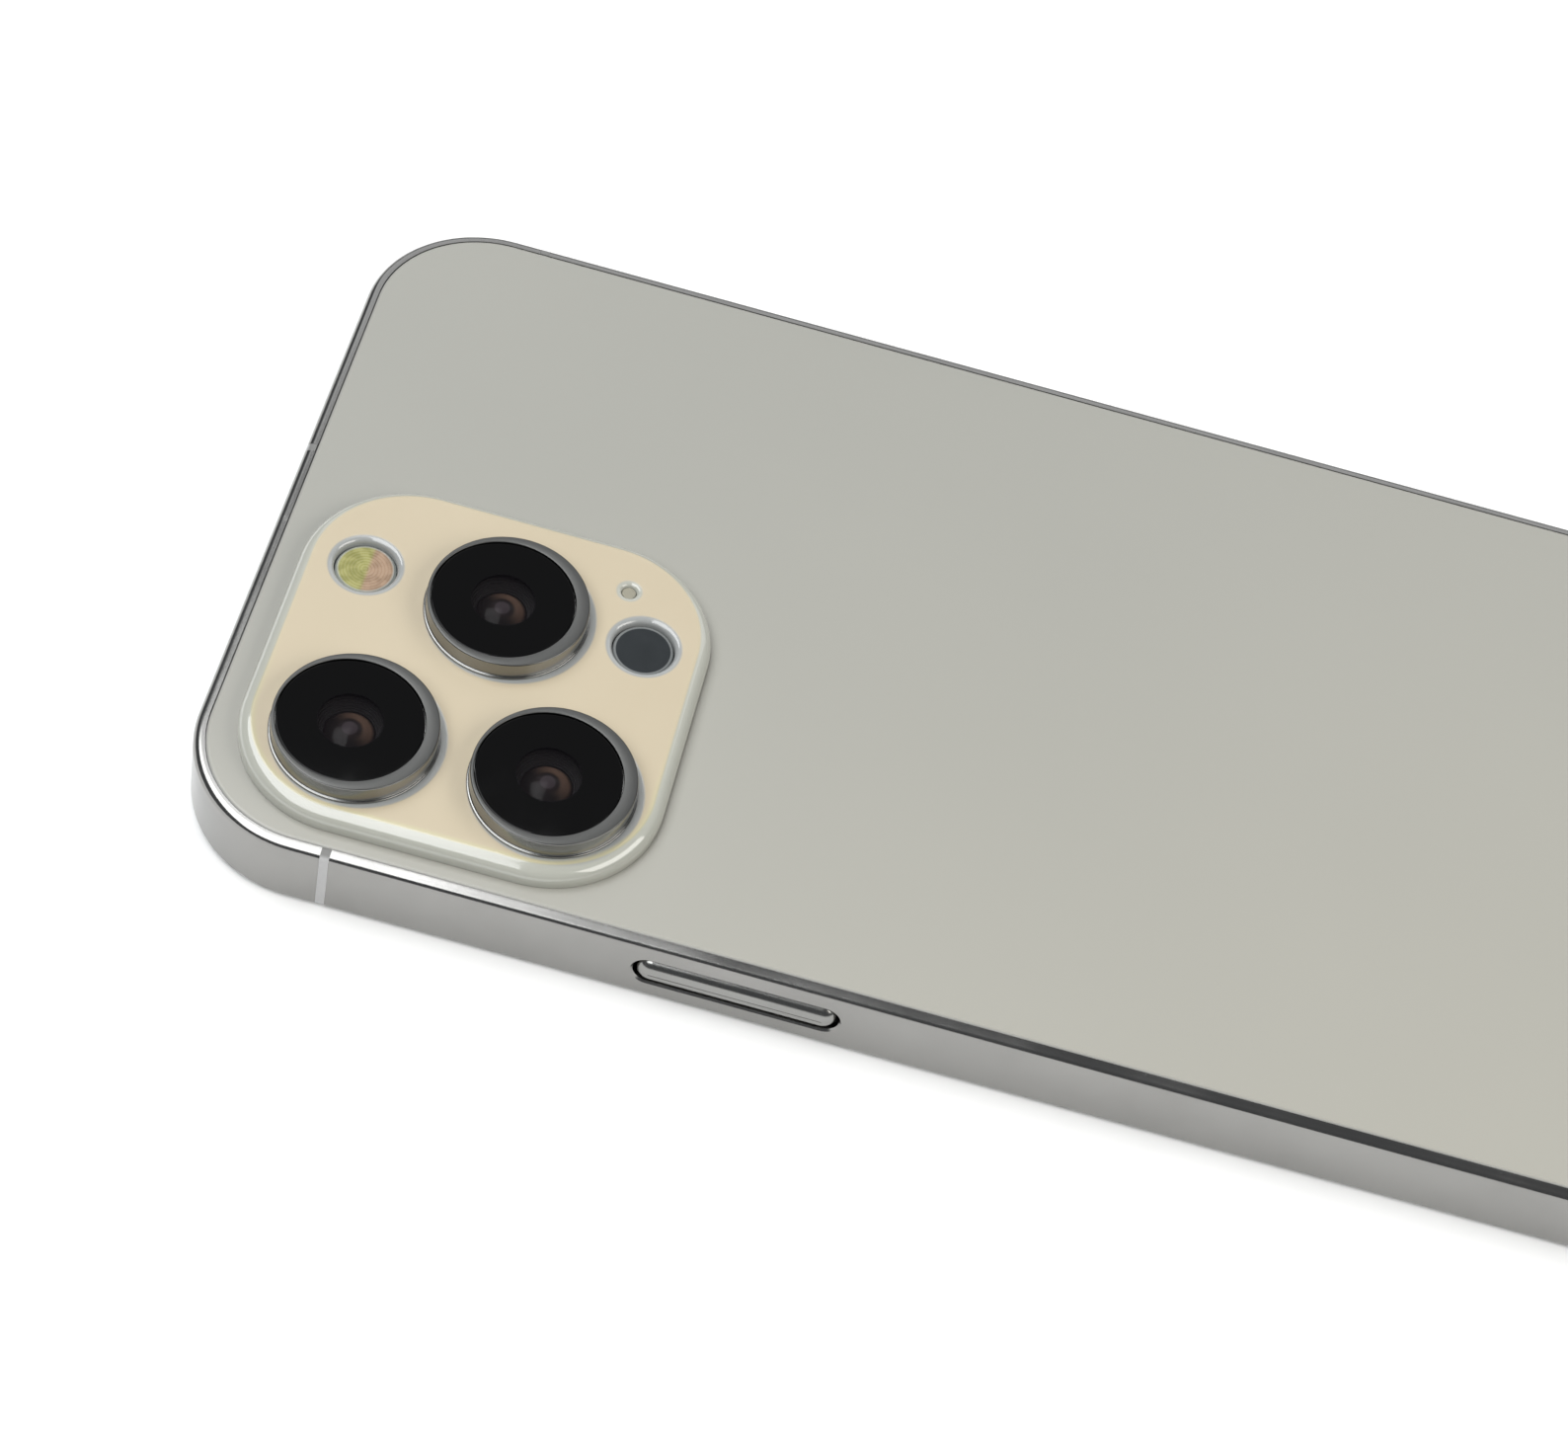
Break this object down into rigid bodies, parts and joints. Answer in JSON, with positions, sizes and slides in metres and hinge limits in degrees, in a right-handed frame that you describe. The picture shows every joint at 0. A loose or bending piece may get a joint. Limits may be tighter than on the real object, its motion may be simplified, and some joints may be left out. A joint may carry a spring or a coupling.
{
  "type": "smartphone",
  "caption": "Flat rectangular mobile phone with a metal side band, glass back and front, and a raised rounded-square camera plateau with round lenses.",
  "frame": {"origin": "on the surface that the display rests on, under the middle of the body", "axes": "+Z out of the back glass, +Y towards the top end, which has the cameras, and -X towards the long side with the power button"},
  "size_m": [0.072, 0.1466, 0.011],
  "materials": {
    "polished_steel": "polished stainless steel",
    "antenna_plastic": "pale grey moulded plastic, flush with the band",
    "satin_back_glass": "satin etched, opaque, warm grey",
    "cream_glass": "satin cream top face with a clear polished rim",
    "cover_glass": "polished black glass with a clear centre",
    "display_glass": "polished, black when the display is off",
    "flash_lens": "two-tone ribbed flash lens",
    "dark_window": "dark infrared window",
    "black_plastic": "moulded, fine matt",
    "fine_mesh": "woven acoustic mesh",
    "display_stack": "laminated display panel",
    "gasket": "black foam seal",
    "sheet_metal": "pressed and machined sheet",
    "circuit_board": "solder-masked board",
    "cell_foil": "black foil pouch",
    "copper_coil": "wound enamelled copper",
    "magnet": "nickel-plated magnets",
    "tungsten": "dense ground block",
    "card_plastic": "blank white card"
  },
  "bodies": {
    "phone_body": {"side_band": "polished_steel", "antenna_break_near_top": "antenna_plastic", "antenna_break_far_top": "antenna_plastic", "antenna_break_near_bottom": "antenna_plastic", "antenna_break_far_bottom": "antenna_plastic", "antenna_break_top_end": "antenna_plastic", "antenna_break_bottom_end": "antenna_plastic", "back_glass": "satin_back_glass", "display_glass": "display_glass", "display_gasket": "gasket", "display_panel": "display_stack", "camera_plateau": "cream_glass", "lens_ring_1": "polished_steel", "lens_ring_2": "polished_steel", "lens_ring_3": "polished_steel", "lens_cover_1": "cover_glass", "lens_cover_2": "cover_glass", "lens_cover_3": "cover_glass", "camera_housing_1": "sheet_metal", "camera_housing_2": "sheet_metal", "camera_housing_3": "sheet_metal", "flash_window": "flash_lens", "depth_window": "dark_window", "flash_module": "circuit_board", "depth_module": "circuit_board", "rear_mic_mesh": "fine_mesh", "power_switch_bracket": "sheet_metal", "volume_switch_bracket": "sheet_metal", "sim_reader": "sheet_metal", "charging_port": "sheet_metal", "port_tongue": "circuit_board", "bottom_screw_left": "polished_steel", "bottom_screw_right": "polished_steel", "loudspeaker": "black_plastic", "loudspeaker_mesh": "fine_mesh", "bottom_microphone": "black_plastic", "earpiece_speaker": "black_plastic", "earpiece_mesh": "fine_mesh", "front_camera_module": "black_plastic", "mid_plate": "sheet_metal", "magnet_ring": "magnet", "charging_coil": "copper_coil", "battery": "cell_foil", "logic_board": "circuit_board", "board_shield": "sheet_metal", "processor_chip": "black_plastic", "charging_flex": "black_plastic", "display_flex": "black_plastic", "motor_case": "sheet_metal"},
    "power_button": {"power_button": "polished_steel"},
    "volume_up_button": {"volume_up_button": "polished_steel"},
    "volume_down_button": {"volume_down_button": "polished_steel"},
    "mute_switch": {"mute_switch": "polished_steel"},
    "sim_tray": {"sim_tray": "polished_steel", "sim_card": "card_plastic"},
    "motor_mass": {"motor_mass": "tungsten"},
    "lens_barrel_1": {"lens_barrel_1": "black_plastic"},
    "lens_barrel_2": {"lens_barrel_2": "black_plastic"},
    "lens_barrel_3": {"lens_barrel_3": "black_plastic"}
  },
  "joints": [
    {"name": "power_press", "type": "slide", "parent": "phone_body", "child": "power_button", "axis": [1, 0, 0], "range_m": [0, 0.00025], "stiffness_N_per_m": 2000},
    {"name": "volume_up_press", "type": "slide", "parent": "phone_body", "child": "volume_up_button", "axis": [-1, 0, 0], "range_m": [0, 0.00025], "stiffness_N_per_m": 2000},
    {"name": "volume_down_press", "type": "slide", "parent": "phone_body", "child": "volume_down_button", "axis": [-1, 0, 0], "range_m": [0, 0.00025], "stiffness_N_per_m": 2000},
    {"name": "mute_slide", "type": "slide", "parent": "phone_body", "child": "mute_switch", "axis": [0, 0, 1], "range_m": [0, 0.0012]},
    {"name": "tray_slide", "type": "slide", "parent": "phone_body", "child": "sim_tray", "axis": [1, 0, 0], "range_m": [0, 0.016]},
    {"name": "motor_shake", "type": "slide", "parent": "phone_body", "child": "motor_mass", "axis": [1, 0, 0], "range_m": [-0.0006, 0.0006], "stiffness_N_per_m": 3000},
    {"name": "focus_1", "type": "slide", "parent": "phone_body", "child": "lens_barrel_1", "axis": [0, 0, 1], "range_m": [0, 0.0003], "stiffness_N_per_m": 400},
    {"name": "focus_2", "type": "slide", "parent": "phone_body", "child": "lens_barrel_2", "axis": [0, 0, 1], "range_m": [0, 0.0003], "stiffness_N_per_m": 400},
    {"name": "focus_3", "type": "slide", "parent": "phone_body", "child": "lens_barrel_3", "axis": [0, 0, 1], "range_m": [0, 0.0003], "stiffness_N_per_m": 400}
  ]
}
